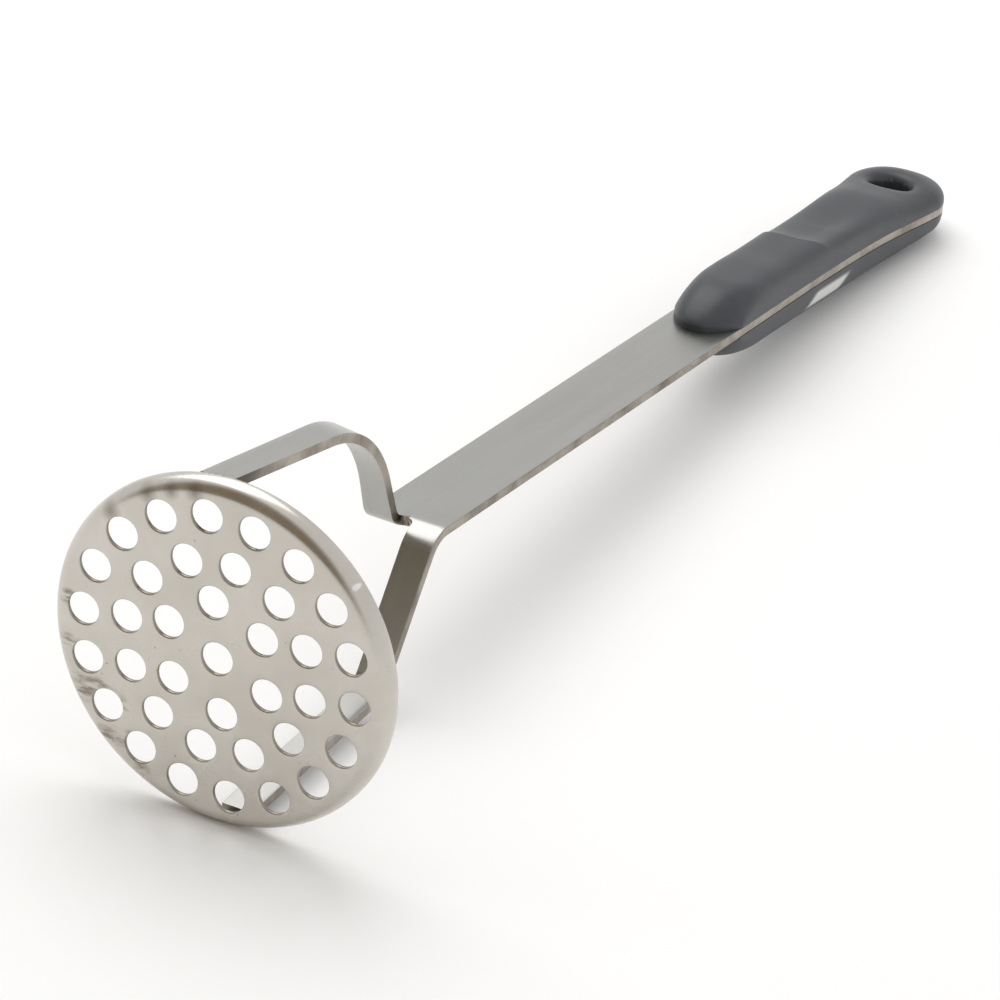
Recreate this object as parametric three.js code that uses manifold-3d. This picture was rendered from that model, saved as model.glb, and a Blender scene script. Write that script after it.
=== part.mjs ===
// Potato masher, lying on its back as on a worktop.
// +Y runs along the handle from the plate to the grip, +Z is the bar's front face, +X is its right edge.
// Millimetres. The plate's working face looks along -Y. Built about the plate's centre and then moved
// so that the origin is the middle of the bounding box's bottom.
import * as THREE from 'three';
import { mergeVertices } from 'three/addons/utils/BufferGeometryUtils.js';
import Module from 'manifold-3d';

const wasm = await Module();
wasm.setup();

const GAP = 0.3; // between pieces that touch in the real object

// The plate: a shallow pan of sheet steel, its rim turned back towards the handle.
const PLATE_R = 43.4;
const SHEET = 1.0;
const RIM_H = 4.8;
const EDGE_R = 3.0;
const BULGE = 0.43; // of the plate's flat middle, towards the work
const FLAT_R = 10.0;
const HOLE_R = 4.0;
const CENTRE_HOLE = { count: 1, radius: 0, firstDeg: 0 };
const INNER_RING = { count: 6, radius: 13.93, firstDeg: -67.6 };
const MIDDLE_RING = { count: 12, radius: 23.93, firstDeg: -52.46 };
const OUTER_RING = { count: 18, radius: 35.0, firstDeg: -47.72 };

// The bar: one strip whose lower end is slotted down the middle into two prongs. The left one bends to
// the front and ends on top of the rim; the right one bends to the back and ends inside the rim.
const BAR_W = 19.5;
const BAR_T = 2.4;
const LEAN = THREE.MathUtils.degToRad(5.63); // the bar falls towards the grip
const FACE_HEIGHT = 3.84; // of the bar's front face over the plate's axis
const SLOT_END = 91.5;
const SLOT_W = 3.5;
const REAR_PRONG = { side: 1, bendAt: 87.3, knee: [64.1, -38.0], foot: [2.9, -39.7], radii: [8.2, 8] };
const FRONT_PRONG = { side: -1, bendAt: 87.7, knee: [74.7, 26.7], foot: [RIM_H + GAP, 41.1], radii: [6, 40] };
const WELD = 2.0;

// The grip: a flaring tang between two moulded scales.
const FLARE = [[290, 9.8], [320, 10.2], [340, 10.9], [357, 12.3], [372, 13.7]]; // distance, half width
const END_CENTRE = 374;
const END_R = [14.0, 15.0]; // across, along
const SCALE_TIP = 244.5;
const SCALE_EDGE = 256;
const SCALE_T = 8.0;
const SCALE_BEVEL = 3.0;
const SCOOP_AT = 303;
const SCOOP_DEPTH = 1.8;
const HANG_AT = 371;
const HANG_R = 5.5;
const DISH_R = 10.0;
const DISH_DEPTH = 3.0;
const PIN_R = 2.5;
const PIN_REACH = 4.5;
const PIN_AT = { lower: 280, upper: 345 };

const steel = (color) => new THREE.MeshStandardMaterial({ color, roughness: 0.35, metalness: 1 });
const plastic = (color) => new THREE.MeshStandardMaterial({ color, roughness: 0.45, metalness: 0 });

function solid(geometry) {
  const bare = geometry.index ? geometry.toNonIndexed() : geometry.clone();
  bare.deleteAttribute('normal');
  bare.deleteAttribute('uv');
  const merged = mergeVertices(bare, 1e-4);
  return new wasm.Manifold(new wasm.Mesh({
    numProp: 3,
    vertProperties: new Float32Array(merged.attributes.position.array),
    triVerts: new Uint32Array(merged.index.array),
  }));
}

function surface(manifold) {
  const mesh = manifold.getMesh();
  const geometry = new THREE.BufferGeometry();
  geometry.setAttribute('position', new THREE.BufferAttribute(new Float32Array(mesh.vertProperties), 3));
  geometry.setIndex(new THREE.BufferAttribute(new Uint32Array(mesh.triVerts), 1));
  geometry.computeVertexNormals();
  return geometry;
}

function named(name, geometry, material) {
  const mesh = new THREE.Mesh(geometry, material);
  mesh.name = name;
  return mesh;
}

// An outline drawn in X (across) and Y (along the bar), raised from z = low to z = high.
function slab(outline, low, high) {
  const geometry = new THREE.ExtrudeGeometry(outline, { depth: high - low, bevelEnabled: false, curveSegments: 16 });
  return geometry.translate(0, 0, low);
}

// An outline drawn in Y and Z, made wide from x = low to x = high.
function sideSlab(points, low, high) {
  const outline = new THREE.Shape(points.map(([y, z]) => new THREE.Vector2(y, z)));
  const geometry = new THREE.ExtrudeGeometry(outline, { depth: high - low, bevelEnabled: false });
  const axes = new THREE.Matrix4().makeBasis(
    new THREE.Vector3(0, 1, 0), new THREE.Vector3(0, 0, 1), new THREE.Vector3(1, 0, 0));
  return geometry.applyMatrix4(axes).translate(low, 0, 0);
}

function pinShape(radius, low, high, along) {
  const geometry = new THREE.CylinderGeometry(radius, radius, high - low, 24);
  return geometry.rotateX(Math.PI / 2).translate(0, along, (low + high) / 2);
}

// --- plate ---------------------------------------------------------------------------------------

function arc(centre, radius, fromDeg, toDeg, steps) {
  return Array.from({ length: steps + 1 }, (_, i) => {
    const a = THREE.MathUtils.degToRad(fromDeg + (toDeg - fromDeg) * i / steps);
    return new THREE.Vector2(centre[0] + radius * Math.cos(a), centre[1] + radius * Math.sin(a));
  });
}

function plateGeometry() {
  const flat = OUTER_RING.radius;
  const profile = [
    new THREE.Vector2(0, -BULGE),
    new THREE.Vector2(FLAT_R, -BULGE),
    new THREE.Vector2(flat, 0),
    ...arc([PLATE_R - EDGE_R, EDGE_R], EDGE_R, -90, 0, 5),
    new THREE.Vector2(PLATE_R, RIM_H),
    new THREE.Vector2(PLATE_R - SHEET, RIM_H),
    ...arc([PLATE_R - EDGE_R, EDGE_R], EDGE_R - SHEET, 0, -90, 3),
    new THREE.Vector2(flat, SHEET),
    new THREE.Vector2(FLAT_R, SHEET - BULGE),
    new THREE.Vector2(0, SHEET - BULGE),
  ];
  let pan = solid(new THREE.LatheGeometry(profile, 72));
  for (const ring of [CENTRE_HOLE, INNER_RING, MIDDLE_RING, OUTER_RING]) {
    for (let i = 0; i < ring.count; i++) {
      const a = THREE.MathUtils.degToRad(ring.firstDeg + 360 * i / ring.count);
      const punch = new THREE.CylinderGeometry(HOLE_R, HOLE_R, 4 * SHEET, 20);
      punch.translate(ring.radius * Math.sin(a), 0, ring.radius * Math.cos(a));
      pan = pan.subtract(solid(punch));
    }
  }
  return surface(pan);
}

// --- bar -----------------------------------------------------------------------------------------

// Half the grip's width at a distance along the bar, up to where its round end starts.
function halfWidth(along) {
  const stations = [[0, BAR_W / 2], ...FLARE];
  const next = stations.findIndex(([s]) => s > along);
  if (next < 0) return stations.at(-1)[1];
  const [s0, w0] = stations[next - 1];
  const [s1, w1] = stations[next];
  return w0 + (w1 - w0) * (along - s0) / (s1 - s0);
}

// The right-hand edge of the grip from `from` to its end, as [across, along] points.
function gripEdge(from, inset) {
  const sides = [from, ...FLARE.map(([s]) => s).filter((s) => s > from)];
  const edge = sides.map((s) => [halfWidth(s) - inset, s]);
  for (let i = 0; i <= 12; i++) {
    const a = Math.PI / 2 * i / 12;
    edge.push([(END_R[0] - inset) * Math.cos(a), END_CENTRE + (END_R[1] - inset) * Math.sin(a)]);
  }
  return edge;
}

// A closed outline from its right-hand half, mirrored to the left.
function mirrored(edge) {
  const left = edge.filter(([x]) => x > 1e-6).map(([x, y]) => [-x, y]).reverse();
  return new THREE.Shape([...edge, ...left].map(([x, y]) => new THREE.Vector2(x, y)));
}

const lean = new THREE.Matrix4().makeTranslation(0, 0, FACE_HEIGHT)
  .multiply(new THREE.Matrix4().makeRotationX(-LEAN));

// A point on the bar's middle plane, as [y, z] in the plate's frame.
function barPoint(along) {
  const p = new THREE.Vector3(0, along, -BAR_T / 2).applyMatrix4(lean);
  return [p.y, p.z];
}

// A polyline in [y, z] with its inner corners rounded.
function rounded(points, radii) {
  const at = points.map(([y, z]) => new THREE.Vector2(y, z));
  const path = [at[0]];
  radii.forEach((radius, i) => {
    const corner = at[i + 1];
    const back = at[i].clone().sub(corner).normalize();
    const on = at[i + 2].clone().sub(corner).normalize();
    const half = Math.acos(THREE.MathUtils.clamp(back.dot(on), -1, 1)) / 2;
    const start = corner.clone().addScaledVector(back, radius / Math.tan(half));
    const centre = back.clone().add(on).normalize().multiplyScalar(radius / Math.sin(half)).add(corner);
    const turn = Math.PI - 2 * half;
    const hand = Math.sign(back.cross(on));
    for (let k = 0; k <= 8; k++) {
      path.push(start.clone().rotateAround(centre, -hand * turn * k / 8));
    }
  });
  path.push(at.at(-1));
  return path;
}

// A strip of the bar's thickness along a path: its side outline as [y, z] points.
function strip(path) {
  const normals = path.map((p, i) => {
    const before = path[Math.max(i - 1, 0)];
    const after = path[Math.min(i + 1, path.length - 1)];
    const t = after.clone().sub(before).normalize();
    return new THREE.Vector2(-t.y, t.x);
  });
  const offset = (d) => path.map((p, i) => p.clone().addScaledVector(normals[i], d).toArray());
  return [...offset(BAR_T / 2), ...offset(-BAR_T / 2).reverse()];
}

function prongSolid({ side, bendAt, knee, foot, radii }) {
  const path = rounded([barPoint(SLOT_END + 2), barPoint(bendAt), knee, foot], radii);
  const near = side * SLOT_W / 2;
  const far = side * BAR_W / 2;
  return solid(sideSlab(strip(path), Math.min(near, far), Math.max(near, far)));
}

function barGeometry() {
  const edge = [[0, SLOT_END], [BAR_W / 2, SLOT_END], ...gripEdge(200, 0)];
  let bar = solid(slab(mirrored(edge), -BAR_T, 0));
  bar = bar.subtract(solid(pinShape(HANG_R, -2 * BAR_T, BAR_T, HANG_AT)));
  for (const along of Object.values(PIN_AT)) {
    bar = bar.subtract(solid(pinShape(PIN_R + GAP, -2 * BAR_T, BAR_T, along)));
  }
  bar = bar.transform(lean.elements).add(prongSolid(REAR_PRONG)).add(prongSolid(FRONT_PRONG));
  return surface(bar);
}

// --- grip ----------------------------------------------------------------------------------------

// One scale, seated on the plane z = GAP with its outer face up.
function scaleGeometry() {
  const b = SCALE_BEVEL;
  const tip = [[0, SCALE_TIP + b], [5, SCALE_TIP + 2 + b], [8.5 - b, SCALE_TIP + 5 + b]];
  const plan = mirrored([...tip, ...gripEdge(SCALE_EDGE, b)]);
  const block = new THREE.ExtrudeGeometry(plan, {
    depth: SCALE_T - 2 * b + b, bevelThickness: b, bevelSize: b, bevelSegments: 3, curveSegments: 16,
  });
  const outer = [
    [SCALE_TIP - 5, 1.5], [SCALE_TIP + 3, 3.5], [SCALE_TIP + 12, 6.4], [SCALE_TIP + 26, SCALE_T],
    [SCOOP_AT, SCALE_T], [SCOOP_AT + 4, SCALE_T - 0.8], [SCOOP_AT + 18, SCALE_T - SCOOP_DEPTH],
    [SCOOP_AT + 34, SCALE_T - 1], [SCOOP_AT + 52, SCALE_T], [END_CENTRE, SCALE_T],
    [END_CENTRE + 9, SCALE_T - 1.5], [END_CENTRE + END_R[1] + 5, 1.5],
  ];
  const side = [[SCALE_TIP - 5, GAP], ...outer, [END_CENTRE + END_R[1] + 5, GAP]];
  let scale = solid(block).intersect(solid(sideSlab(side.reverse(), -30, 30)));
  scale = scale.subtract(solid(pinShape(HANG_R, -1, SCALE_T + 1, HANG_AT)));
  const dish = new THREE.CylinderGeometry(DISH_R, HANG_R, DISH_DEPTH, 32);
  dish.rotateX(Math.PI / 2).translate(0, HANG_AT, SCALE_T - DISH_DEPTH / 2);
  scale = scale.subtract(solid(dish));
  for (const along of Object.values(PIN_AT)) {
    scale = scale.subtract(solid(pinShape(PIN_R + GAP, -1, PIN_REACH + GAP, along)));
  }
  return surface(scale);
}

// --- welds ---------------------------------------------------------------------------------------

// A three-sided bead along a prong's foot, its section given as [y, z] points.
function weldGeometry(side, bead) {
  const ends = [side * SLOT_W / 2, side * BAR_W / 2];
  return surface(solid(sideSlab(bead, Math.min(...ends), Math.max(...ends))));
}

// Under the front prong's foot, in the corner with the inside of the rim.
const rimInside = Math.sqrt((PLATE_R - SHEET) ** 2 - (BAR_W / 2) ** 2) - GAP;
const frontBead = [[RIM_H, rimInside], [RIM_H, rimInside - WELD], [RIM_H - WELD, rimInside]];

// On top of the rim, against the rear prong's outer face.
const rearFace = REAR_PRONG.foot[1] - BAR_T / 2 - 2 * GAP;
const rimTop = RIM_H + GAP;
const rearBead = [[rimTop, rearFace], [rimTop, 1 - PLATE_R], [rimTop + WELD, rearFace]];

// --- assembly ------------------------------------------------------------------------------------

const grip = new THREE.Group();
grip.applyMatrix4(lean);
const frontScale = named('front_scale', scaleGeometry(), plastic(0x53565b));
const rearScale = named('rear_scale', scaleGeometry(), plastic(0x53565b));
rearScale.rotation.y = Math.PI;
rearScale.position.z = -BAR_T;
grip.add(frontScale, rearScale);
for (const [place, along] of Object.entries(PIN_AT)) {
  const shape = pinShape(PIN_R, -BAR_T - PIN_REACH, PIN_REACH, along);
  grip.add(named(`scale_pin_${place}`, surface(solid(shape)), steel(0x9a9a98)));
}

const masher = new THREE.Group();
masher.add(named('mashing_plate', plateGeometry(), steel(0xb9b3a8)));
masher.add(named('handle_bar', barGeometry(), steel(0xa8a7a3)));
masher.add(named('weld_front', weldGeometry(FRONT_PRONG.side, frontBead), steel(0x8f887c)));
masher.add(named('weld_rear', weldGeometry(REAR_PRONG.side, rearBead), steel(0x8f887c)));
masher.add(grip);

masher.updateMatrixWorld(true);
const box = new THREE.Box3().setFromObject(masher, true);
const middle = box.getCenter(new THREE.Vector3());
masher.position.set(-middle.x, -middle.y, -box.min.z);

export default masher;
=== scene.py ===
# %% [markdown]
# # A potato masher on a pale table
#
# The real thing is pressed, slotted and bent from stainless strip and sheet: a round perforated plate with
# a turned-back rim, a long flat bar whose lower end is slotted into two prongs, and two dark moulded scales
# that make the grip. Here every visible piece is a surface worked out with numpy on a grid, because the
# real pieces are exactly that: a profile carried round a circle, or a section carried along a bent path.
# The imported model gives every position, so the first step is to load it and read its boxes.

# %% Load the frame
import math

import bmesh
import bpy
import numpy as np
from mathutils import Matrix, Vector
from mathutils.geometry import delaunay_2d_cdt


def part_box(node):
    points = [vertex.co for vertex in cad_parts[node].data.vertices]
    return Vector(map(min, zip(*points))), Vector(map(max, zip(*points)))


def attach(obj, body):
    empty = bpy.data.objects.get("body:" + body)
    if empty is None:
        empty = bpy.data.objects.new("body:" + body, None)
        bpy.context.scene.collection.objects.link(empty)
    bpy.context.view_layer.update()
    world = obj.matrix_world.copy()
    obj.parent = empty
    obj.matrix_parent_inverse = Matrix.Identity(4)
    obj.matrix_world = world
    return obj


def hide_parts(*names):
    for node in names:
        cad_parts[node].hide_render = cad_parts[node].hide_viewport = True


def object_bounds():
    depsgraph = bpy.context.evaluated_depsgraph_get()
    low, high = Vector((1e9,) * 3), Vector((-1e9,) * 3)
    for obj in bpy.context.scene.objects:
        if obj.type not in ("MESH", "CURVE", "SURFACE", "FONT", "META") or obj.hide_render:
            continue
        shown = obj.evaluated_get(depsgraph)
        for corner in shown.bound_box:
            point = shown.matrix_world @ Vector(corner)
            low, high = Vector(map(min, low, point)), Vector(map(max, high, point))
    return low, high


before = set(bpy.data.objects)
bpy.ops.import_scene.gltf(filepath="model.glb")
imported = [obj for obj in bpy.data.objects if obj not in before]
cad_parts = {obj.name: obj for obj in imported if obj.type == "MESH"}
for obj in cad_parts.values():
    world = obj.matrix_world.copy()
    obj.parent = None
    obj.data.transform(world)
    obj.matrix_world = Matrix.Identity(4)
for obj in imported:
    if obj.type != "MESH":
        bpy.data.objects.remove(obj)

MM = 0.001
cad_low, cad_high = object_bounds()
plate_low, plate_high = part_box("mashing_plate")
bar_low, bar_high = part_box("handle_bar")
print("CAD box, mm:", [round(v / MM, 1) for v in (*cad_low, *cad_high)])
print("bar box, mm:", [round(v / MM, 1) for v in (*bar_low, *bar_high)])

# %% Sizes of the real pieces
BULGE = 0.43 * MM
PLATE_R = (plate_high[0] - plate_low[0]) / 2
AXIS_Z = (plate_high[2] + plate_low[2]) / 2
FACE_Y = plate_low[1] + BULGE
RIM_H = plate_high[1] - FACE_Y
LEAN = math.radians(5.63)
FACE_HEIGHT = 3.84 * MM
BAR_T = 2.4 * MM
BAR_HALF = 9.75 * MM
print("plate radius", round(PLATE_R / MM, 2), "rim height", round(RIM_H / MM, 2))


# %% [markdown]
# ## Helpers
#
# A surface is a grid of points with a row for each step along it and a column for each step round it.
# The faces of such a grid follow from its size alone, so one helper makes them for every piece. Rows or
# columns that close on themselves wrap round, and rows that shrink to a point are welded afterwards.

# %% Grids and meshes
def grid_faces(rows, cols, wrap_rows=False, wrap_cols=False, first=0):
    """The four corners of each cell of a rows x cols grid of points, numbered row by row from `first`."""
    i = np.arange(rows if wrap_rows else rows - 1)[:, None]
    j = np.arange(cols if wrap_cols else cols - 1)[None, :]
    i2, j2 = (i + 1) % rows, (j + 1) % cols
    cells = np.stack(np.broadcast_arrays(i * cols + j, i * cols + j2, i2 * cols + j2, i2 * cols + j), -1)
    return cells.reshape(-1, 4) + first


def make_piece(name, points, faces, uv=None, marks=None, sharp=32, weld=2e-6, node=()):
    """A mesh object from points (n x 3, metres) and a list of face arrays. `uv` has a pair for each point,
    and so has every named list of numbers in `marks`."""
    mesh = bpy.data.meshes.new(name)
    corners = [face for block in faces for face in block.tolist()]
    mesh.from_pydata(points.tolist(), [], corners)
    if uv is not None:
        layer = mesh.uv_layers.new(name="UVMap")
        index = np.empty(len(mesh.loops), dtype=np.int64)
        mesh.loops.foreach_get("vertex_index", index)
        layer.uv.foreach_set("vector", np.asarray(uv, dtype=np.float32)[index].ravel())
    for mark_name, values in (marks or {}).items():
        mark = mesh.attributes.new(mark_name, "FLOAT", "POINT")
        mark.data.foreach_set("value", np.asarray(values, dtype=np.float32))
    work = bmesh.new()
    work.from_mesh(mesh)
    bmesh.ops.remove_doubles(work, verts=work.verts, dist=weld)
    bmesh.ops.dissolve_degenerate(work, edges=work.edges, dist=weld / 4)
    bmesh.ops.recalc_face_normals(work, faces=work.faces)
    work.to_mesh(mesh)
    work.free()
    mesh.shade_smooth()
    mesh.set_sharp_from_angle(angle=math.radians(sharp))
    piece = bpy.data.objects.new(name, mesh)
    bpy.context.scene.collection.objects.link(piece)
    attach(piece, "root")
    if node:
        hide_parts(*node)
    print(name, len(mesh.polygons), "faces")
    return piece


def smooth(x, low, high):
    """0 below low, 1 above high, and a smooth S between them."""
    t = np.clip((x - low) / (high - low), 0, 1)
    return t * t * (3 - 2 * t)


def through_knots(x, knots):
    """A smooth curve through (x, value) knots: a cubic on each span, with slopes that never overshoot."""
    kx, ky = np.array(knots, dtype=float).T
    step, rise = np.diff(kx), np.diff(ky)
    slope = rise / step
    inner = np.where(slope[:-1] * slope[1:] > 0,
                     2 * slope[:-1] * slope[1:] / (slope[:-1] + slope[1:] + 1e-30), 0)
    m = np.concatenate([[slope[0]], inner, [slope[-1]]])
    k = np.clip(np.searchsorted(kx, x, side="right") - 1, 0, len(kx) - 2)
    t = np.clip((x - kx[k]) / step[k], 0, 1)
    return ((2 * t**3 - 3 * t**2 + 1) * ky[k] + (t**3 - 2 * t**2 + t) * step[k] * m[k]
            + (3 * t**2 - 2 * t**3) * ky[k + 1] + (t**3 - t**2) * step[k] * m[k + 1])


# %% [markdown]
# ## The camera
#
# A long lens from the plate's side, a little above and to the right, turned by a few degrees. The camera
# is placed by the direction it looks in, its distance and the point that it looks at.

# %% Camera
AZIMUTH, ELEVATION, ROLL = math.radians(25.6135), math.radians(28.6059), math.radians(4.5198)
DISTANCE = 1.3386
back = Vector((math.sin(AZIMUTH) * math.cos(ELEVATION), -math.cos(AZIMUTH) * math.cos(ELEVATION),
               math.sin(ELEVATION)))
aim = Vector((45.03 * MM, FACE_Y + 44.755 * MM, AXIS_Z + 34.3 * MM))
camera_data = bpy.data.cameras.new("camera")
camera_data.sensor_width = 36
camera_data.lens = 216
camera = bpy.data.objects.new("camera", camera_data)
camera.matrix_world = (Matrix.Translation(aim + back * DISTANCE)
                       @ back.to_track_quat("Z", "Y").to_matrix().to_4x4()
                       @ Matrix.Rotation(ROLL, 4, "Z"))
bpy.context.scene.collection.objects.link(camera)
bpy.context.scene.camera = camera
print("camera at", [round(v, 3) for v in camera.matrix_world.translation])


# %% [markdown]
# ## The perforated plate
#
# A blank of 1 mm sheet is punched with rings of 1, 6, 12 and 18 holes and pressed into a shallow pan. The
# punch rolls the edge of each hole over on the side that it enters. A flat face with round holes is no
# grid, so its points are laid out in rings and joined into triangles by a Delaunay net. The hole walls and
# the rim are grids, and share their first and last rings of points with the two nets.

# %% Plate sizes
SHEET = 1.0 * MM
EDGE_R = 3.8 * MM
HOLE_R = 4.0 * MM
LIP = 0.4 * MM
FLAT_R = 10 * MM
RING_R = 35.0 * MM
HOLE_RINGS = [(1, 0.0, 0.0), (6, 13.93 * MM, -67.6), (12, 23.93 * MM, -52.46), (18, RING_R, -47.72)]
HOLE_SIDES = 56
RIM_SIDES = 288


def hole_centres():
    """The holes as (x, z) about the plate's axis: evenly round each ring, from the ring's first angle."""
    rings = []
    for count, radius, first in HOLE_RINGS:
        angle = np.radians(first) + 2 * np.pi * np.arange(count) / count
        rings.append(np.stack([radius * np.sin(angle), radius * np.cos(angle)], -1))
    return np.concatenate(rings)


def face_height(radius):
    """The working face's Y over the rim's plane: level in the middle, then a straight cone out to zero."""
    return -BULGE * (1 - smooth(radius, FLAT_R * 0.3, RING_R * 1.1))


def circle(radius, sides):
    """Points (x, z) on a circle about the axis."""
    angle = 2 * np.pi * np.arange(sides) / sides
    return np.stack([radius * np.sin(angle), radius * np.cos(angle)], -1)


CENTRES = hole_centres()
print(len(CENTRES), "holes")


# %% The net of one face
def face_net(hole_radius, level):
    """The pan's flat face at height `level` over the working face: circles round every hole and the edge,
    a hexagonal field of points between them, and the Delaunay triangles that aren't across a hole."""
    rim = circle(PLATE_R - EDGE_R, RIM_SIDES)
    rings = (CENTRES[:, None, :] + circle(hole_radius, HOLE_SIDES)[None, :, :]).reshape(-1, 2)
    step = 1.3 * MM
    count = int(PLATE_R / step) + 2
    a, b = np.meshgrid(np.arange(-count, count + 1), np.arange(-count, count + 1))
    field = np.stack([(a + b % 2 / 2) * step, b * step * 0.866], -1).reshape(-1, 2)
    clear = np.linalg.norm(field[:, None] - CENTRES[None], axis=-1).min(1) > hole_radius + 0.6 * step
    field = field[clear & (np.linalg.norm(field, axis=1) < PLATE_R - EDGE_R - 0.6 * step)]
    flat = np.concatenate([rings, rim, field])
    owner = np.full(len(flat), -1)
    owner[:len(rings)] = np.repeat(np.arange(len(CENTRES)), HOLE_SIDES)
    scale = 1000.0
    result = delaunay_2d_cdt([Vector(p) for p in (flat * scale).tolist()], [], [], 0, 1e-5)
    faces = np.array([f for f in result[2] if len(f) == 3])
    source = np.array([origin[0] for origin in result[3]])
    faces = source[faces]
    own = owner[faces]
    across = (own[:, 0] >= 0) & (own[:, 0] == own[:, 1]) & (own[:, 1] == own[:, 2])
    radius = np.linalg.norm(flat, axis=1)
    points = np.stack([flat[:, 0], face_height(radius) + level, flat[:, 1]], -1)
    return points, np.zeros(len(points)), faces[~across]


def hole_walls():
    """For every hole a grid: the rolled edge, the straight wall and the small break at the back."""
    out = np.array([LIP, 0.25 * MM, 0.12 * MM, 0.04 * MM, 0, 0, 0.05 * MM, 0.14 * MM])
    depth = np.array([0, 0.03 * MM, 0.10 * MM, 0.19 * MM, 0.32 * MM, SHEET - 0.14 * MM,
                      SHEET - 0.03 * MM, SHEET])
    ring = circle(1.0, HOLE_SIDES)
    flat = CENTRES[:, None, None, :] + (HOLE_R + out)[None, :, None, None] * ring[None, None, :, :]
    radius = np.linalg.norm(flat, axis=-1)
    height = face_height(radius) + depth[None, :, None]
    points = np.stack([flat[..., 0], height, flat[..., 1]], -1).reshape(-1, 3)
    rows = len(out)
    sheared = np.broadcast_to(np.array([0, 0, 0.3, 0.8, 1, 1, 1, 0])[None, :, None], height.shape)
    one = grid_faces(rows, HOLE_SIDES, wrap_cols=True)
    start = np.arange(len(CENTRES)) * rows * HOLE_SIDES
    return points, sheared.ravel(), (one[None] + start[:, None, None]).reshape(-1, 4)


def rim_wall():
    """The rim's profile (radius, height) carried round the axis: out round the edge, up, over and back."""
    start = PLATE_R - EDGE_R
    bend = np.radians(np.linspace(-90, 0, 15))
    top = np.radians(np.linspace(0, 180, 9))
    outer = np.stack([start + EDGE_R * np.cos(bend), EDGE_R + EDGE_R * np.sin(bend)], -1)
    lip = np.stack([PLATE_R - SHEET / 2 + SHEET / 2 * np.cos(top),
                    RIM_H - SHEET / 3 + SHEET / 3 * np.sin(top)], -1)
    inside = EDGE_R - SHEET
    inner = np.stack([start + inside * np.cos(bend[::-1]), EDGE_R + inside * np.sin(bend[::-1])], -1)
    profile = np.concatenate([outer, lip, inner])
    profile[[0, -1], 1] += face_height(start)
    ring = circle(1.0, RIM_SIDES)
    radius = profile[:, 0][:, None]
    points = np.stack([radius * ring[:, 0], np.broadcast_to(profile[:, 1:2], (len(profile), RIM_SIDES)),
                       radius * ring[:, 1]], -1).reshape(-1, 3)
    sheared = np.repeat(np.abs(np.arange(len(profile)) - 19) < 4, RIM_SIDES).astype(float)
    return points, sheared, grid_faces(len(profile), RIM_SIDES, wrap_cols=True)


# %% Build the plate
def build_plate():
    """The two nets, the hole walls and the rim, welded into one closed sheet and put on the plate's axis."""
    parts = [face_net(HOLE_R + LIP, 0.0), face_net(HOLE_R + 0.14 * MM, SHEET), hole_walls(), rim_wall()]
    start = np.cumsum([0] + [len(points) for points, _, _ in parts[:-1]])
    points = np.concatenate([points for points, _, _ in parts])
    sheared = np.concatenate([mark for _, mark, _ in parts])
    faces = [block + first for (_, _, block), first in zip(parts, start)]
    points = points + np.array([0, FACE_Y, AXIS_Z])
    return make_piece("plate_sheet", points, faces, marks={"cut": sheared}, sharp=40, weld=4e-6,
                      node=("mashing_plate",))


plate = build_plate()


# %% [markdown]
# ## The bar
#
# One strip runs the whole length. A slot is sheared into the middle of its lower end, and the two prongs
# are bent apart: the left one to the front, the right one to the back, then both down to the plate. Each
# half is a rectangular section with softened outer edges, carried along its own path. Above the slot the
# halves share their middle line, so the points there are welded and the walls between them are left out.

# %% Bar paths
SLOT_END = 91.5 * MM
SLOT_HALF = 1.75 * MM
PATH_START = 96 * MM
LEFT = {"side": -1, "bend": 87.7, "knee": (74.7, 26.7), "foot": 41.1, "level": RIM_H + 0.1 * MM,
        "radii": (6, 40), "twist": 1.6, "burn": 0.9}
RIGHT = {"side": 1, "bend": 87.3, "knee": (64.1, -38.0), "foot": -39.7, "level": 2.7 * MM,
         "radii": (8.2, 8), "twist": 0.0, "burn": 0.2}
TANG = [(0, 9.75), (290, 9.8), (320, 10.15), (340, 10.8), (357, 12.2), (368, 13.4), (374, 13.9)]
END_CENTRE = 374 * MM
END_LENGTH = 15 * MM
direction = np.array([math.cos(LEAN), -math.sin(LEAN)])
upward = np.array([math.sin(LEAN), math.cos(LEAN)])


def bar_point(along, height=0.0):
    """A point (y, z) in the plate's frame at a distance along the bar and a height over its front face."""
    origin = np.array([0.0, FACE_HEIGHT])
    return origin + np.multiply.outer(along, direction) + np.multiply.outer(height, upward)


def rounded_path(corners, radii, steps=26):
    """A polyline in (y, z) with arcs of the given radii in its inner corners."""
    path = [corners[0]]
    for before, corner, after, radius in zip(corners, corners[1:], corners[2:], radii):
        back_way = (before - corner) / np.linalg.norm(before - corner)
        on_way = (after - corner) / np.linalg.norm(after - corner)
        half = math.acos(float(back_way @ on_way)) / 2
        middle = back_way + on_way
        centre = corner + middle / np.linalg.norm(middle) * radius / math.sin(half)
        start = corner + back_way * radius / math.tan(half) - centre
        hand = np.sign(back_way[0] * on_way[1] - back_way[1] * on_way[0])
        turn = -hand * (math.pi - 2 * half) * np.linspace(0, 1, steps)
        path.extend(np.stack([centre[0] + start[0] * np.cos(turn) - start[1] * np.sin(turn),
                              centre[1] + start[0] * np.sin(turn) + start[1] * np.cos(turn)], -1))
    path.append(corners[-1])
    return np.array(path)


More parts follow.
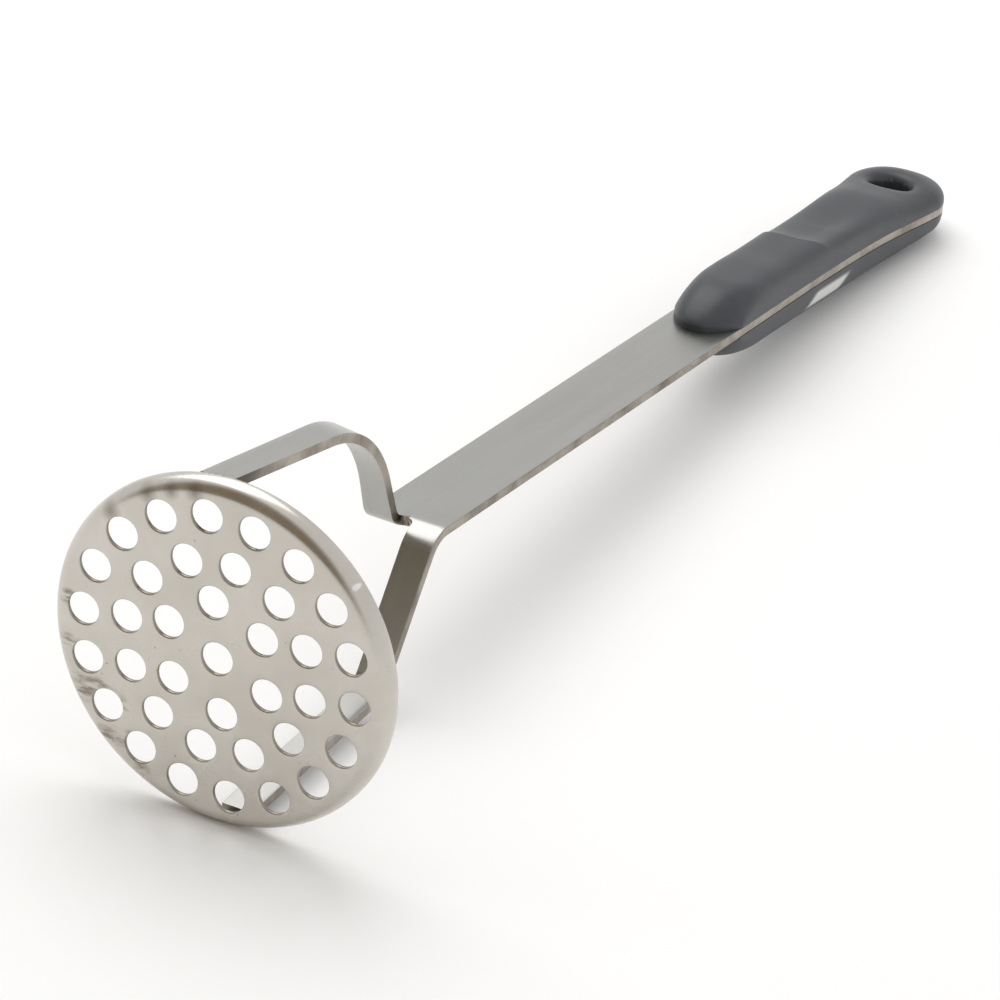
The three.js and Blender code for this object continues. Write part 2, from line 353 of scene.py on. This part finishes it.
def prong_path(prong, shift):
    """One half's middle line, bent at its corners, and how far along the bar each of its points lies. The
    knee is `shift` further along the bar, which twists the prong a little when its two sides differ."""
    foot = np.array([prong["level"], prong["foot"] * MM])
    knee = (np.array(prong["knee"]) + np.array([shift, 0])) * MM
    corners = [bar_point(PATH_START, -BAR_T / 2), bar_point(prong["bend"] * MM, -BAR_T / 2), knee, foot]
    path = rounded_path(corners, np.array(prong["radii"]) * MM)
    travel = np.concatenate([[0], np.cumsum(np.linalg.norm(np.diff(path, axis=0), axis=1))])
    return path, travel


def prong_rows(prong, side, count=230, close=30):
    """Evenly spaced rows from the foot up, and closer ones by the slot's end. `side` runs from -1 at the
    slot to 1 at the outer edge, and each row has a (y, z) for it."""
    path, travel = prong_path(prong, prong["twist"] * side)
    reach = travel[-1] - (PATH_START - SLOT_END)
    below = np.concatenate([np.linspace(reach, 4 * MM, count), np.linspace(4 * MM, 0, close)[1:-1]])
    at = PATH_START - SLOT_END + below * (travel[-1] - PATH_START + SLOT_END) / reach
    rows = np.stack([np.interp(at, travel, path[:, 0]), np.interp(at, travel, path[:, 1])], -1)
    return SLOT_END - below, rows


def half_width(along):
    """Half the strip's width: the even shank, the flaring tang and its round end."""
    flare = through_knots(along / MM, TANG) * MM
    end = np.sqrt(np.clip(1 - (np.maximum(along - END_CENTRE, 0) / END_LENGTH) ** 2, 0, 1))
    return flare * end


def slot_half(along):
    """Half the slot's width: parallel sides, then a round end that runs out in a short torn crack."""
    past = np.clip((along - SLOT_END + 2.6 * MM) / (1.6 * MM), 0, 1)
    return np.maximum(SLOT_HALF * np.sqrt(1 - past**2), 0.03 * MM)


# %% Build the bar
EDGE_BREAK = 0.35 * MM


def section(inner, outer, thickness):
    """One half's outline at each station, from the inner back corner over the front to the back again:
    `inner` and `outer` are its sides (arrays), and the outer edges are quarter circles."""
    turn = np.radians(np.linspace(90, 0, 5))
    width = outer - inner
    soft = np.minimum(EDGE_BREAK, width * 0.45)
    flat = np.array([0, 0.02, 0.2, 0.4, 0.6, 0.8, 1])
    x_front = inner[:, None] + (width - soft)[:, None] * flat[None]
    x_edge = (outer - soft)[:, None] + soft[:, None] * np.cos(turn)[None]
    z_edge = thickness / 2 - EDGE_BREAK + EDGE_BREAK * np.sin(turn)
    across = np.concatenate([x_front, x_edge[:, 1:], x_edge[:, ::-1], x_front[:, -2::-1]], 1)
    high = np.full(len(flat), thickness / 2)
    up = np.concatenate([high, z_edge[1:], -z_edge[::-1], -high[:-1]])
    return across, np.broadcast_to(up, across.shape)


def build_half(prong):
    """One half of the bar as points, faces, a UV map (across, along) in metres and the sheared sides."""
    end = END_CENTRE + END_LENGTH * np.sin(np.radians(np.linspace(0, 90, 22)))
    along = np.concatenate([np.arange(SLOT_END, END_CENTRE, 2.5 * MM), end])
    lower, slot_side = prong_rows(prong, -1.0)
    outer_side = prong_rows(prong, 1.0)[1]
    shank = bar_point(along, -BAR_T / 2)
    station = np.concatenate([lower, along])
    slotted = len(lower)
    inner = np.where(np.arange(len(station)) < slotted, slot_half(station), 0.0)
    across, up = section(inner, np.maximum(half_width(station), 1e-7), BAR_T)
    share = np.clip((across - SLOT_HALF) / (BAR_HALF - SLOT_HALF), 0, 1)[..., None]
    line = []
    for rows in (np.concatenate([slot_side, shank]), np.concatenate([outer_side, shank])):
        tangent = np.gradient(rows, axis=0)
        tangent /= np.linalg.norm(tangent, axis=1)[:, None]
        normal = np.stack([-tangent[:, 1], tangent[:, 0]], -1)
        line.append(rows[:, None] + normal[:, None] * up[..., None])
    place = line[0] * (1 - share) + line[1] * share
    points = np.stack([prong["side"] * across, place[..., 0] + FACE_Y, place[..., 1] + AXIS_Z], -1)
    rows, cols = across.shape
    faces = grid_faces(rows, cols)
    wall = grid_faces(rows, cols, wrap_cols=True).reshape(rows - 1, cols, 4)[:slotted, -1]
    foot = np.stack([np.arange(cols // 2 - 1), np.arange(1, cols // 2),
                     cols - 1 - np.arange(1, cols // 2), cols - 1 - np.arange(cols // 2 - 1)], -1)
    uv = np.stack([prong["side"] * across, np.broadcast_to(station[:, None], across.shape)], -1)
    sheared = np.zeros(across.shape)
    sheared[:, 8:-8] = 1.0
    sheared[:slotted, [0, -1]] = 1.0
    burnt = prong["burn"] * sheared * (1 - smooth(station - station[0], 6 * MM, 24 * MM))[:, None]
    return points.reshape(-1, 3), [faces, wall, foot], uv.reshape(-1, 2), {"cut": sheared.ravel(),
                                                                           "burnt": burnt.ravel()}


def build_bar():
    """Both halves in one mesh. Their middle lines above the slot fall together and are welded."""
    left_points, left_faces, left_uv, left_marks = build_half(LEFT)
    right_points, right_faces, right_uv, right_marks = build_half(RIGHT)
    faces = left_faces + [block + len(left_points) for block in right_faces]
    marks = {name: np.concatenate([left_marks[name], right_marks[name]]) for name in left_marks}
    return make_piece("handle_strip", np.concatenate([left_points, right_points]), faces,
                      uv=np.concatenate([left_uv, right_uv]), marks=marks, sharp=35,
                      node=("handle_bar",))


bar = build_bar()


# %% [markdown]
# ## The grip scales
#
# Two dark mouldings lie on the tang's two faces. Each starts in a blunt round tip with an upright lip,
# swells over its nose, and ends wide and round about the hanging hole, which sits in a soft dish. The front
# one has a crease with a thumb scoop past it. The rear one has a pale slanting strip on its flank, a painted
# reflection. The section is a superellipse as wide as the tang, so the scale meets the steel with upright
# sides. Its power is high along the scale, which makes it boxy, and falls towards the hanging hole, which
# makes it rounder.

# %% Scale surface
SCALE_TIP = 244.5 * MM
TIP_DEPTH = 11 * MM
TIP_POWER = 2.4
TIP_LIP = 0.17
NOSE = 18 * MM
SQUARENESS = 4.0
FRONT_END_SQUARENESS = 2.5
REAR_END_SQUARENESS = 3.4
FRONT_HEIGHTS = [(246, 8.9), (276, 8.9), (290, 8.5), (303, 8.5), (320, 8.6), (338, 8.0), (349, 7.5),
                 (360, 6.5), (368, 5.9), (376, 5.8), (383, 5.6), (389, 5.0)]
REAR_HEIGHTS = [(246, 8.0), (276, 8.0), (293, 8.3), (313, 8.5), (333, 8.5), (353, 8.2), (368, 7.2),
                (380, 6.0), (389, 5.0)]
CREASE = 304 * MM
SCOOP = 2.3 * MM
HANG_AT = 371 * MM
HANG_R = 5.5 * MM
HANG_SIDES = 64
DISH_R = 10.5 * MM
DISH_DEPTH = 2.6 * MM
MOUTH = 2.4 * MM


def tip_share(along):
    """How much of the tang's width the scale has: it starts in a blunt round tip and soon has all of it."""
    return np.clip((along - SCALE_TIP) / TIP_DEPTH, 0, 1) ** (1 / TIP_POWER)


def nose(along, share):
    """The swell behind the tip: an upright lip, then a quick rise that flattens out, by the distance from
    the tip's outline."""
    past = np.clip((along - SCALE_TIP - TIP_DEPTH * share**TIP_POWER) / NOSE, 0, 1)
    return TIP_LIP + (1 - TIP_LIP) * (1 - (1 - past) ** 2) ** 0.75


def crown(along, knots):
    """The crown's height along the scale, brought down to nothing at the round end."""
    end = np.clip((along - END_CENTRE + 3 * MM) / (END_LENGTH + 3 * MM), 0, 1)
    return through_knots(along / MM, knots) * MM * (1 - end ** 2.8) ** (1 / 2.8)


def squareness(along, low):
    """The superellipse's power: boxy along the scale, and down to `low` round the hanging hole."""
    return SQUARENESS - (SQUARENESS - low) * smooth(along, 322 * MM, 366 * MM)


def scoop_depth(along, across):
    """How far the thumb scoop is sunk: nothing up to the crease, then a quick fall, a floor, a slow rise.
    The crease bends towards the end of the grip on one side and fades there."""
    side = np.clip(across / BAR_HALF, -1, 1)
    past = along - CREASE - 5 * MM * np.clip(side, 0, 1) ** 2
    fall = 1 - np.exp(-np.maximum(past, 0) / (5.5 * MM))
    rise = 1 - smooth(past, 18 * MM, 50 * MM)
    return SCOOP * fall * rise * (1 - 0.45 * smooth(side, 0.1, 1.0))


def dish_depth(along, across):
    """The dish round the hanging hole: a smooth bowl that steepens into the hole's edge."""
    radius = np.hypot(along - HANG_AT, across)
    bowl = 0.5 * (1 + np.cos(np.pi * np.clip(radius / DISH_R, 0, 1)))
    lip = np.clip((HANG_R + MOUTH - radius) / MOUTH, 0, 1)
    return DISH_DEPTH * bowl + 0.8 * MOUTH * (1 - np.sqrt(np.clip(1 - lip**2, 0, 1)))


def painted_reflection_strip(along, across, depth):
    """A painted reflection on the rear scale's right flank: a pale slanting strip with soft ends."""
    middle = 312.5 * MM - 1.6 * (depth - 2.8 * MM)
    long_way = 1 - smooth(np.abs(along - middle), 8 * MM, 12 * MM)
    down_way = 1 - smooth(depth, 4.8 * MM, 6 * MM)
    return np.where(across > 0, long_way * smooth(depth, 1.6 * MM, 2.6 * MM) * down_way, 0)


def scale_points(flip):
    """The scale's grid of points. `flip` turns it half round the bar's middle line for the rear one."""
    steps = np.concatenate([SCALE_TIP + 24 * MM * (1 - np.cos(np.linspace(0, np.pi / 2, 60))),
                            np.arange(SCALE_TIP + 24.5 * MM, END_CENTRE, 0.5 * MM),
                            END_CENTRE + END_LENGTH * np.sin(np.linspace(0, np.pi / 2, 44))])
    turn = np.linspace(0, np.pi, 111)
    share = np.maximum(tip_share(steps), 1e-4)[:, None]
    wide = np.maximum(half_width(steps), 1e-6)[:, None]
    tall = np.maximum(crown(steps, REAR_HEIGHTS if flip else FRONT_HEIGHTS), 1e-6)[:, None]
    power = squareness(steps, REAR_END_SQUARENESS if flip else FRONT_END_SQUARENESS)[:, None]
    side = share * np.sign(np.cos(turn)) * np.abs(np.cos(turn)) ** (2 / power)
    across = wide * side
    along = np.broadcast_to(steps[:, None], across.shape)
    round_over = np.clip(1 - np.abs(side) ** power, 0, 1) ** (1 / power)
    height = tall * round_over * nose(along, np.abs(side))
    sunk = dish_depth(along, across) + (0.0 if flip else scoop_depth(along, across))
    height = height - np.minimum(sunk * round_over**2, height * 0.92)
    base = np.linspace(-1, 1, 11)
    across = np.concatenate([across, wide * share * base[None]], 1)
    height = np.concatenate([height, np.zeros((len(steps), len(base)))], 1) + 0.02 * MM
    along = np.broadcast_to(steps[:, None], across.shape)
    # The rear scale's pale strip is a painted reflection, carried to the finish as a mark at each point.
    pale = painted_reflection_strip(along, across, height) if flip else np.zeros(across.shape)
    if flip:
        height = -BAR_T - height
    flat = bar_point(along, 0)
    y = flat[..., 0] + upward[0] * height
    z = flat[..., 1] + upward[1] * height
    return np.stack([across, y + FACE_Y, z + AXIS_Z], -1), pale


def cut_hole(piece):
    """Cuts the hanging hole through a piece along the bar's own normal."""
    centre = bar_point(HANG_AT, -BAR_T / 2)
    rows = np.array([-15 * MM, 15 * MM])
    ring = circle(HANG_R, HANG_SIDES)
    y = centre[0] + ring[None, :, 1] * direction[0] + rows[:, None] * upward[0]
    z = centre[1] + ring[None, :, 1] * direction[1] + rows[:, None] * upward[1]
    points = np.stack([np.broadcast_to(ring[None, :, 0], y.shape), y + FACE_Y, z + AXIS_Z], -1)
    mesh = bpy.data.meshes.new("hole_cutter")
    caps = [list(range(HANG_SIDES)), list(range(HANG_SIDES, 2 * HANG_SIDES))]
    wall = grid_faces(2, HANG_SIDES, wrap_cols=True).tolist()
    mesh.from_pydata(points.reshape(-1, 3).tolist(), [], wall + caps)
    work = bmesh.new()
    work.from_mesh(mesh)
    bmesh.ops.recalc_face_normals(work, faces=work.faces)
    work.to_mesh(mesh)
    work.free()
    cutter = bpy.data.objects.new("hole_cutter", mesh)
    bpy.context.scene.collection.objects.link(cutter)
    cut = piece.modifiers.new("hanging_hole", "BOOLEAN")
    cut.operation, cut.object, cut.solver = "DIFFERENCE", cutter, "EXACT"
    baked = bpy.data.meshes.new_from_object(piece.evaluated_get(bpy.context.evaluated_depsgraph_get()))
    piece.modifiers.clear()
    baked.name = piece.name
    piece.data = baked
    baked.set_sharp_from_angle(angle=math.radians(35))
    bpy.data.objects.remove(cutter)
    print(piece.name, "with the hanging hole:", len(baked.polygons), "faces")


def build_scale(name, flip, node):
    """One scale: the grid closed round its section and welded at its tip and end, with the hole cut."""
    points, pale = scale_points(flip)
    rows, cols = points.shape[:2]
    piece = make_piece(name, points.reshape(-1, 3), [grid_faces(rows, cols, wrap_cols=True)],
                       marks={"pale": pale.ravel()}, sharp=35, weld=5e-6, node=(node,))
    cut_hole(piece)
    return piece


front_scale = build_scale("front_grip", False, "front_scale")
rear_scale = build_scale("rear_grip", True, "rear_scale")
cut_hole(bar)


# %% [markdown]
# ## The welds
#
# A short run of weld metal joins each prong's foot to the rim. The front one lies under the foot, inside the
# rim, and the rear one lies over the rim, against the prong's outer face. A weld is a row of overlapping
# ripples, so it is a round bead whose radius swells and shrinks along its length.

# %% Build the welds
WELD_HALF = 4.1 * MM
WELD_ROWS = 70
WELD_SIDES = 20


def build_weld(name, side, y_centre, z_centre, size, node):
    """A rippled bead along a foot: a round section whose radius carries a small wave, tapered at its ends."""
    length = np.linspace(-1, 1, WELD_ROWS)
    turn = 2 * np.pi * np.arange(WELD_SIDES) / WELD_SIDES
    ripple = 1 + 0.10 * np.sin(15 * length) + 0.05 * np.sin(37 * length)
    swell = np.sqrt(np.clip(1 - length**8, 0, 1)) * ripple
    radius = size * swell[:, None]
    middle = side * (SLOT_HALF + BAR_HALF) / 2
    x = np.broadcast_to((middle + length * WELD_HALF)[:, None], (WELD_ROWS, WELD_SIDES))
    y = y_centre + radius * np.cos(turn)[None]
    z = z_centre(x) + radius * np.sin(turn)[None]
    points = np.stack([x, y + FACE_Y, z + AXIS_Z], -1).reshape(-1, 3)
    return make_piece(name, points, [grid_faces(WELD_ROWS, WELD_SIDES, wrap_cols=True)], sharp=50,
                      node=(node,))


def under_foot(x):
    """The corner between the front prong's foot and the inside of the rim."""
    return np.sqrt((PLATE_R - SHEET) ** 2 - x**2) - 0.3 * MM


def over_rim(x):
    """The top of the rim just outside the rear prong's foot."""
    return -np.sqrt((PLATE_R - SHEET * 1.3) ** 2 - x**2)


weld_front = build_weld("weld_bead_front", LEFT["side"], RIM_H - 0.4 * MM, under_foot, 1.2 * MM, "weld_front")
weld_rear = build_weld("weld_bead_rear", RIGHT["side"], RIM_H + 0.3 * MM, over_rim, 1.1 * MM, "weld_rear")


# %% [markdown]
# ## Finishes
#
# Stainless strip carries fine rolling lines along its length; the punched sheet has them across the plate
# with faint water marks. The moulded grip is satin, with a very fine grain. Each finish is a small tree of
# noise textures that moves the colour, the roughness and the bump by small amounts.

# %% Material helpers
class Tree:
    """A material's nodes with short ways to add and join them."""

    def __init__(self, name):
        self.material = bpy.data.materials.new(name)
        self.material.use_nodes = True
        self.nodes = self.material.node_tree.nodes
        self.links = self.material.node_tree.links
        self.shader = self.nodes["Principled BSDF"]

    def add(self, kind, **settings):
        """A node of that kind. Settings name its properties, or its input sockets where they exist."""
        node = self.nodes.new("ShaderNode" + kind)
        for key, value in settings.items():
            if hasattr(node, key):
                setattr(node, key, value)
            else:
                node.inputs[key.replace("_", " ")].default_value = value
        return node

    def join(self, source, target):
        """Joins an output socket to an input socket."""
        self.links.new(source, target)

    def place(self, coordinate, scale, turn=(0, 0, 0), shift=(0, 0, 0)):
        """A coordinate output ("Object" or "UV") through a Mapping node."""
        where = self.add("TexCoord")
        mapping = self.add("Mapping")
        mapping.inputs["Scale"].default_value = scale
        mapping.inputs["Rotation"].default_value = turn
        mapping.inputs["Location"].default_value = shift
        self.join(where.outputs[coordinate], mapping.inputs["Vector"])
        return mapping.outputs["Vector"]

    def noise(self, vector, scale, detail=3.0, roughness=0.5):
        """A noise texture's factor at that vector."""
        texture = self.add("TexNoise")
        texture.inputs["Scale"].default_value = scale
        texture.inputs["Detail"].default_value = detail
        texture.inputs["Roughness"].default_value = roughness
        self.join(vector, texture.inputs["Vector"])
        return texture.outputs["Fac"]

    def ramp(self, source, stops):
        """A colour ramp with (position, colour) stops; a plain number stands for a grey."""
        node = self.add("ValToRGB")
        points = node.color_ramp.elements
        while len(points) < len(stops):
            points.new(0.5)
        for point, (at, colour) in zip(points, stops):
            point.position = at
            grey = (colour,) * 3 if isinstance(colour, (int, float)) else colour
            point.color = (*grey, 1)
        self.join(source, node.inputs["Fac"])
        return node.outputs["Color"]

    def mix(self, factor, a, b):
        """Two colours mixed by a factor. A colour is a socket or an RGB triple, and the factor may be a
        number."""
        node = self.add("Mix", data_type="RGBA")
        for value, socket in ((factor, node.inputs[0]), (a, node.inputs[6]), (b, node.inputs[7])):
            if isinstance(value, (int, float)):
                socket.default_value = value
            elif isinstance(value, tuple):
                socket.default_value = (*value, 1)
            else:
                self.join(value, socket)
        return node.outputs[2]

    def sum(self, a, b):
        """Two factors added."""
        node = self.add("Math", operation="ADD")
        self.join(a, node.inputs[0])
        self.join(b, node.inputs[1])
        return node.outputs[0]

    def product(self, a, b):
        """Two factors multiplied."""
        node = self.add("Math", operation="MULTIPLY")
        self.join(a, node.inputs[0])
        self.join(b, node.inputs[1])
        return node.outputs[0]

    def mark(self, name):
        """A number that the mesh carries at each of its points."""
        return self.add("Attribute", attribute_name=name).outputs["Fac"]

    def bump(self, height, distance, strength):
        """A bump node of that height."""
        node = self.add("Bump")
        node.inputs["Strength"].default_value = strength
        node.inputs["Distance"].default_value = distance
        self.join(height, node.inputs["Height"])
        return node.outputs["Normal"]


# %% Steel of the plate
STAINS = [(-38, -8, 4), (-35, -19, 5), (-30, -18, 4), (-26, -21, 5), (-27, -30, 5), (-21, -29, 4),
          (-18, -35, 3), (-39, 3, 3)]
# Spots (x, z, radius in mm) where a dark reflection is painted on the rim's bend by the upper left holes.
DARK_REFLECTION_SPOTS = [(-29, 28, 3.2), (-20, 35.5, 3.0), (-14, 38, 2.6), (-8, 39.5, 3.0)]
NICK = [(32.6, 28.0, 1.1)]


def near_spots(tree, spots):
    """1 at the middle of each spot on the plate and 0 past its radius. A spot is (x, z, radius) in mm about
    the plate's axis."""
    total = None
    for x, z, radius in spots:
        size = 1 / (radius * MM)
        centre = tree.place("Object", (size, 0.2 * size, size),
                            shift=(-x * MM * size, -FACE_Y * 0.2 * size, -(AXIS_Z + z * MM) * size))
        ball = tree.add("TexGradient", gradient_type="SPHERICAL")
        tree.join(centre, ball.inputs["Vector"])
        total = ball.outputs["Fac"] if total is None else tree.sum(total, ball.outputs["Fac"])
    return total


def plate_steel():
    """Warm satin stainless: fine scratches all ways, cloudy water marks, brown stains towards the lower left
    edge, a painted dark reflection on the rim's bend by the upper left holes, a pale nick on the rim, a few
    specks, and darker sheared metal in the hole walls and on the rim's edge."""
    tree = Tree("plate_steel")
    lines = tree.noise(tree.place("Object", (900, 900, 160), (0, 0.5, 0)), 2.0, 4)
    cloud = tree.noise(tree.place("Object", (1, 1, 1)), 55, 4, 0.6)
    smear = tree.noise(tree.place("Object", (130, 130, 420), (0, 0.9, 0)), 1.0, 5, 0.7)
    specks = tree.noise(tree.place("Object", (1, 1, 1), shift=(0.3, 0, 0.1)), 900, 2, 0.5)
    clean = tree.ramp(cloud, [(0.3, (0.53, 0.500, 0.450)), (0.7, (0.62, 0.590, 0.545))])
    where = tree.product(near_spots(tree, STAINS), tree.ramp(smear, [(0.45, 0.0), (0.66, 1.0)]))
    stained = tree.mix(tree.ramp(where, [(0.04, 0.0), (0.5, 0.75)]), clean, (0.16, 0.13, 0.10))
    speckled = tree.mix(tree.ramp(specks, [(0.74, 0.0), (0.80, 0.7)]), stained, (0.12, 0.09, 0.06))
    # A painted dark reflection: the rim's bend by the upper left holes is darkened at these spots.
    dark_reflection = tree.ramp(near_spots(tree, DARK_REFLECTION_SPOTS), [(0.05, 0.0), (0.9, 0.6)])
    with_dark_reflection = tree.mix(dark_reflection, speckled, (0.13, 0.11, 0.09))
    edged = tree.mix(tree.mark("cut"), with_dark_reflection, (0.27, 0.240, 0.200))
    nick = near_spots(tree, NICK)
    tree.join(tree.mix(tree.ramp(nick, [(0.2, 0.0), (0.4, 1.0)]), edged, (0.85, 0.84, 0.82)),
              tree.shader.inputs["Base Color"])
    tree.join(tree.ramp(nick, [(0.2, 1.0), (0.4, 0.0)]), tree.shader.inputs["Metallic"])
    tree.join(tree.ramp(cloud, [(0.25, 0.22), (0.75, 0.32)]), tree.shader.inputs["Roughness"])
    tree.join(tree.bump(lines, 0.00002, 0.35), tree.shader.inputs["Normal"])
    return tree.material


# %% Steel of the bar
def bar_steel():
    """Stainless strip brushed along its length: long thin streaks in roughness, tone and bump, with brown
    sheared sides."""
    tree = Tree("bar_steel")
    streaks = tree.noise(tree.place("UV", (2600, 26, 1)), 1.0, 5, 0.6)
    broad = tree.noise(tree.place("UV", (260, 9, 1)), 1.0, 3)
    cloud = tree.noise(tree.place("Object", (1, 1, 1)), 40, 3)
    patches = tree.noise(tree.place("Object", (1, 1, 1), shift=(0.1, 0, 0)), 130, 3, 0.55)
    shear = tree.noise(tree.place("Object", (500, 90, 90)), 1.0, 4, 0.65)
    tone = tree.ramp(broad, [(0.3, (0.365, 0.360, 0.340)), (0.7, (0.40, 0.395, 0.373))])
    fine = tree.ramp(streaks, [(0.3, (0.33, 0.325, 0.305)), (0.7, (0.44, 0.435, 0.415))])
    faces = tree.mix(0.25, tone, fine)
    worn = tree.mix(tree.ramp(patches, [(0.50, 0.0), (0.68, 0.10)]), faces, (0.36, 0.385, 0.41))
    sides = tree.ramp(shear, [(0.3, (0.155, 0.125, 0.095)), (0.6, (0.36, 0.325, 0.275))])
    scorched = tree.mix(tree.mark("burnt"), sides, (0.03, 0.022, 0.015))
    tree.join(tree.mix(tree.mark("cut"), worn, scorched), tree.shader.inputs["Base Color"])
    tree.shader.inputs["Metallic"].default_value = 1.0
    tree.join(tree.ramp(cloud, [(0.3, 0.24), (0.7, 0.32)]), tree.shader.inputs["Roughness"])
    tree.join(tree.bump(streaks, 0.00001, 0.35), tree.shader.inputs["Normal"])
    return tree.material


# %% Weld, pins and grip
def weld_steel():
    """Dull grey-brown weld metal, mottled and rough."""
    tree = Tree("weld_steel")
    mottle = tree.noise(tree.place("Object", (1, 1, 1)), 700, 4, 0.7)
    tree.join(tree.ramp(mottle, [(0.3, (0.16, 0.13, 0.10)), (0.7, (0.42, 0.39, 0.34))]),
              tree.shader.inputs["Base Color"])
    tree.shader.inputs["Metallic"].default_value = 1.0
    tree.join(tree.ramp(mottle, [(0.3, 0.6), (0.7, 0.4)]), tree.shader.inputs["Roughness"])
    tree.join(tree.bump(mottle, 0.0001, 0.6), tree.shader.inputs["Normal"])
    return tree.material


def pin_steel():
    """Plain turned steel with rings round the pin."""
    tree = Tree("pin_steel")
    rings = tree.noise(tree.place("Object", (200, 200, 3000)), 1.0, 3)
    tree.join(tree.ramp(rings, [(0.3, 0.42), (0.7, 0.6)]), tree.shader.inputs["Base Color"])
    tree.shader.inputs["Metallic"].default_value = 1.0
    tree.join(tree.ramp(rings, [(0.3, 0.25), (0.7, 0.4)]), tree.shader.inputs["Roughness"])
    return tree.material


def grip_plastic():
    """Dark slate moulding with a faint cloudiness in colour and sheen over a very fine grain, a few pale
    scuffs, and a light grey painted reflection on the rear scale's flank where the mesh carries the 'pale'
    mark."""
    tree = Tree("grip_plastic")
    cloud = tree.noise(tree.place("Object", (1, 1, 1)), 60, 4, 0.55)
    grain = tree.noise(tree.place("Object", (1, 1, 1)), 2600, 3, 0.6)
    scuff = tree.noise(tree.place("Object", (1, 1, 1), shift=(0.2, 0.1, 0)), 420, 3, 0.7)
    tone = tree.ramp(cloud, [(0.3, (0.022, 0.0255, 0.032)), (0.7, (0.040, 0.045, 0.053))])
    scuffed = tree.mix(tree.ramp(scuff, [(0.68, 0.0), (0.80, 0.5)]), tone, (0.20, 0.20, 0.20))
    # A light grey painted reflection, laid over the moulding where the rear scale's strip mark is set.
    tree.join(tree.mix(tree.mark("pale"), scuffed, (0.62, 0.62, 0.61)), tree.shader.inputs["Base Color"])
    tree.join(tree.ramp(cloud, [(0.3, 0.34), (0.7, 0.46)]), tree.shader.inputs["Roughness"])
    tree.join(tree.bump(grain, 0.00003, 0.5), tree.shader.inputs["Normal"])
    return tree.material


FINISHES = {"plate_steel": plate_steel(), "bar_steel": bar_steel(), "weld_steel": weld_steel(),
            "pin_steel": pin_steel(), "grip_plastic": grip_plastic()}


def finish_piece(piece, finish):
    """Gives a piece one finish in its only material slot."""
    piece.data.materials.clear()
    piece.data.materials.append(FINISHES[finish])


for piece, finish in ((plate, "plate_steel"), (bar, "bar_steel"), (front_scale, "grip_plastic"),
                      (rear_scale, "grip_plastic"), (weld_front, "weld_steel"), (weld_rear, "weld_steel")):
    finish_piece(piece, finish)
for pin in ("scale_pin_lower", "scale_pin_upper"):
    finish_piece(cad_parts[pin], "pin_steel")
print("finished", sorted(FINISHES))


# %% [markdown]
# ## Table and light
#
# A plain pale table runs out of sight. The light is a bright even room and one large soft lamp overhead, so
# the satin steel has something pale to reflect. The room has one dark warm opening, low at the plate's side,
# which gives the plate its tone.

# %% Table
TABLE_HALF = 6.0
TABLE_DROP = 0.05 * MM


def build_floor():
    """A wide flat square a hair below the lowest point."""
    half, z = TABLE_HALF, cad_low[2] - TABLE_DROP
    corners = [(-half, -half, z), (half, -half, z), (half, half, z), (-half, half, z)]
    mesh = bpy.data.meshes.new("table")
    mesh.from_pydata(corners, [], [(0, 1, 2, 3)])
    floor = bpy.data.objects.new("table", mesh)
    bpy.context.scene.collection.objects.link(floor)
    tree = Tree("table_top")
    tree.shader.inputs["Base Color"].default_value = (0.97, 0.97, 0.967, 1)
    tree.shader.inputs["Roughness"].default_value = 0.9
    mesh.materials.append(tree.material)
    return floor


build_floor()


# %% Lights
OPENING_WAY = (-0.26, -0.88, 0.40)
OPENING_EDGE = (0.60, 0.86)
OPENING_TONE = (0.32, 0.265, 0.19, 1)
ROOM_STRENGTH = 0.88


def soft_lamp(name, place, target, size, power):
    """A square area lamp at a place, facing a target."""
    data = bpy.data.lights.new(name, "AREA")
    data.size, data.energy = size, power
    lamp = bpy.data.objects.new(name, data)
    way = Vector(target) - Vector(place)
    lamp.matrix_world = Matrix.Translation(place) @ way.to_track_quat("-Z", "Y").to_matrix().to_4x4()
    bpy.context.scene.collection.objects.link(lamp)
    return lamp


def build_room():
    """A bright even room, pale all round and overhead, with one dark opening low at the plate's side."""
    world = bpy.data.worlds.new("room")
    world.use_nodes = True
    nodes, links = world.node_tree.nodes, world.node_tree.links
    way = nodes.new("ShaderNodeTexCoord")
    towards = nodes.new("ShaderNodeVectorMath")
    towards.operation = "DOT_PRODUCT"
    towards.inputs[1].default_value = OPENING_WAY
    ramp = nodes.new("ShaderNodeValToRGB")
    ramp.color_ramp.interpolation = "EASE"
    for point, at, tone in zip(ramp.color_ramp.elements, OPENING_EDGE, ((1, 1, 1, 1), OPENING_TONE)):
        point.position = at
        point.color = tone
    links.new(way.outputs["Generated"], towards.inputs[0])
    links.new(towards.outputs["Value"], ramp.inputs["Fac"])
    links.new(ramp.outputs["Color"], nodes["Background"].inputs["Color"])
    nodes["Background"].inputs["Strength"].default_value = ROOM_STRENGTH
    bpy.context.scene.world = world


soft_lamp("key", (-0.8, 0.55, 1.75), (0, 0, 0), 1.7, 18)
build_room()
bpy.context.scene.view_settings.view_transform = "Standard"
